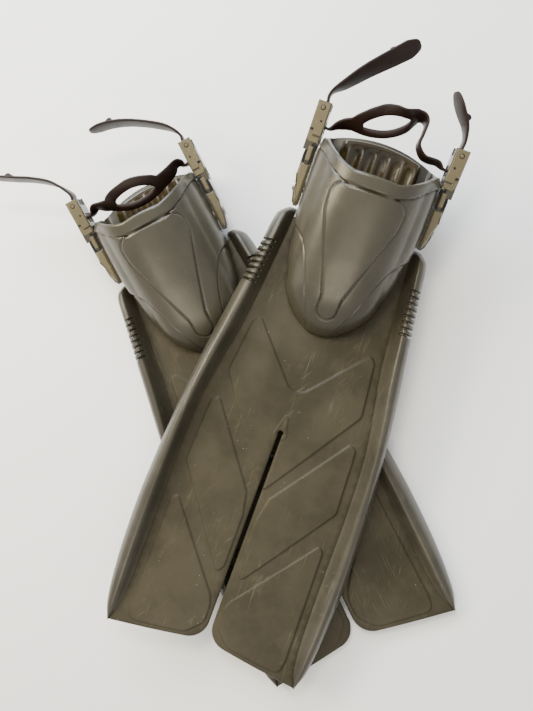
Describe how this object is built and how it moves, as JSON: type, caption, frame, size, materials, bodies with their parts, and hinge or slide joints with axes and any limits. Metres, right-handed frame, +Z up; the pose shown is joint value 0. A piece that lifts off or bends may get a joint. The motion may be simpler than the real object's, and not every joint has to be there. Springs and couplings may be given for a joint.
{
  "type": "swim fins",
  "caption": "Open-heel swim fins with a split blade, side rails, a foot pocket and a buckled heel strap, one lying across the other.",
  "frame": {"origin": "on the surface that the pair lies on, below the middle of its bounding box", "axes": "+Z up; +Y roughly from the blade tips to the heels; +X to the right, seen from above with the heels at the top"},
  "size_m": [0.5392, 0.6978, 0.1485],
  "materials": {
    "blade": "worn matt olive-black blade plastic",
    "rubber": "moulded black rubber with a soft sheen",
    "buckle": "moulded black nylon, satin",
    "lever": "moulded black nylon, satin",
    "strap": "moulded strap rubber",
    "metal": "stainless pins and studs"
  },
  "bodies": {
    "lower_fin": {"lower_blade": "blade", "lower_foot_pocket": "rubber", "lower_footbed": "rubber", "lower_left_rail": "rubber", "lower_right_rail": "rubber", "lower_left_stud": "metal", "lower_right_stud": "metal"},
    "lower_left_lever": {"lower_left_strap_lever": "lever"},
    "lower_left_top_button": {"lower_left_top_button": "lever"},
    "lower_left_bottom_button": {"lower_left_bottom_button": "lever"},
    "lower_right_lever": {"lower_right_strap_lever": "lever"},
    "lower_right_top_button": {"lower_right_top_button": "lever"},
    "lower_right_bottom_button": {"lower_right_bottom_button": "lever"},
    "lower_strap_assembly": {"lower_heel_strap": "strap", "lower_left_buckle_base": "buckle", "lower_left_buckle_frame": "buckle", "lower_left_lever_pin": "metal", "lower_right_buckle_base": "buckle", "lower_right_buckle_frame": "buckle", "lower_right_lever_pin": "metal"},
    "upper_fin": {"upper_blade": "blade", "upper_foot_pocket": "rubber", "upper_footbed": "rubber", "upper_left_rail": "rubber", "upper_right_rail": "rubber", "upper_left_stud": "metal", "upper_right_stud": "metal"},
    "upper_left_lever": {"upper_left_strap_lever": "lever"},
    "upper_left_top_button": {"upper_left_top_button": "lever"},
    "upper_left_bottom_button": {"upper_left_bottom_button": "lever"},
    "upper_right_lever": {"upper_right_strap_lever": "lever"},
    "upper_right_top_button": {"upper_right_top_button": "lever"},
    "upper_right_bottom_button": {"upper_right_bottom_button": "lever"},
    "upper_strap_assembly": {"upper_heel_strap": "strap", "upper_left_buckle_base": "buckle", "upper_left_buckle_frame": "buckle", "upper_left_lever_pin": "metal", "upper_right_buckle_base": "buckle", "upper_right_buckle_frame": "buckle", "upper_right_lever_pin": "metal"}
  },
  "joints": [
    {"name": "upper_fin_lift", "type": "slide", "parent": "lower_fin", "child": "upper_fin", "axis": [0, 0, 1], "range_m": [0, 0.25]},
    {"name": "lower_strap_swing", "type": "hinge", "parent": "lower_fin", "child": "lower_strap_assembly", "pos_m": [-0.06788, 0.17791, 0.03016], "axis": [0.9033, 0.4289, 0], "range_deg": [-15, 20]},
    {"name": "lower_left_lever_turn", "type": "hinge", "parent": "lower_strap_assembly", "child": "lower_left_lever", "pos_m": [-0.16887, 0.21015, 0.04957], "axis": [-0.111, 0.2338, -0.9659], "range_deg": [0, 55]},
    {"name": "lower_left_top_squeeze", "type": "slide", "parent": "lower_strap_assembly", "child": "lower_left_top_button", "axis": [-0.111, 0.2338, -0.9659], "range_m": [0, 0.0022], "stiffness_N_per_m": 600},
    {"name": "lower_left_bottom_squeeze", "type": "slide", "parent": "lower_strap_assembly", "child": "lower_left_bottom_button", "axis": [0.111, -0.2338, 0.9659], "range_m": [0, 0.0022], "stiffness_N_per_m": 600},
    {"name": "lower_right_lever_turn", "type": "hinge", "parent": "lower_strap_assembly", "child": "lower_right_lever", "pos_m": [-0.02903, 0.27655, 0.04957], "axis": [0.111, -0.2338, 0.9659], "range_deg": [0, 55]},
    {"name": "lower_right_top_squeeze", "type": "slide", "parent": "lower_strap_assembly", "child": "lower_right_top_button", "axis": [-0.111, 0.2338, -0.9659], "range_m": [0, 0.0022], "stiffness_N_per_m": 600},
    {"name": "lower_right_bottom_squeeze", "type": "slide", "parent": "lower_strap_assembly", "child": "lower_right_bottom_button", "axis": [0.111, -0.2338, 0.9659], "range_m": [0, 0.0022], "stiffness_N_per_m": 600},
    {"name": "upper_strap_swing", "type": "hinge", "parent": "upper_fin", "child": "upper_strap_assembly", "pos_m": [0.16195, 0.19559, 0.07405], "axis": [0.9311, -0.3519, -0.0958], "range_deg": [-15, 30]},
    {"name": "upper_left_lever_turn", "type": "hinge", "parent": "upper_strap_assembly", "child": "upper_left_lever", "pos_m": [0.11723, 0.28956, 0.10205], "axis": [0.0113, 0.2905, -0.9568], "range_deg": [0, 55]},
    {"name": "upper_left_top_squeeze", "type": "slide", "parent": "upper_strap_assembly", "child": "upper_left_top_button", "axis": [0.0113, 0.2905, -0.9568], "range_m": [0, 0.0022], "stiffness_N_per_m": 600},
    {"name": "upper_left_bottom_squeeze", "type": "slide", "parent": "upper_strap_assembly", "child": "upper_left_bottom_button", "axis": [-0.0113, -0.2905, 0.9568], "range_m": [0, 0.0022], "stiffness_N_per_m": 600},
    {"name": "upper_right_lever_turn", "type": "hinge", "parent": "upper_strap_assembly", "child": "upper_right_lever", "pos_m": [0.26136, 0.23508, 0.08722], "axis": [-0.0113, -0.2905, 0.9568], "range_deg": [0, 55]},
    {"name": "upper_right_top_squeeze", "type": "slide", "parent": "upper_strap_assembly", "child": "upper_right_top_button", "axis": [0.0113, 0.2905, -0.9568], "range_m": [0, 0.0022], "stiffness_N_per_m": 600},
    {"name": "upper_right_bottom_squeeze", "type": "slide", "parent": "upper_strap_assembly", "child": "upper_right_bottom_button", "axis": [-0.0113, -0.2905, 0.9568], "range_m": [0, 0.0022], "stiffness_N_per_m": 600}
  ],
  "couplings": [
    {"joint": "lower_left_bottom_squeeze", "follows": "lower_left_top_squeeze", "ratio": 1},
    {"joint": "lower_right_bottom_squeeze", "follows": "lower_right_top_squeeze", "ratio": 1},
    {"joint": "upper_left_bottom_squeeze", "follows": "upper_left_top_squeeze", "ratio": 1},
    {"joint": "upper_right_bottom_squeeze", "follows": "upper_right_top_squeeze", "ratio": 1}
  ]
}
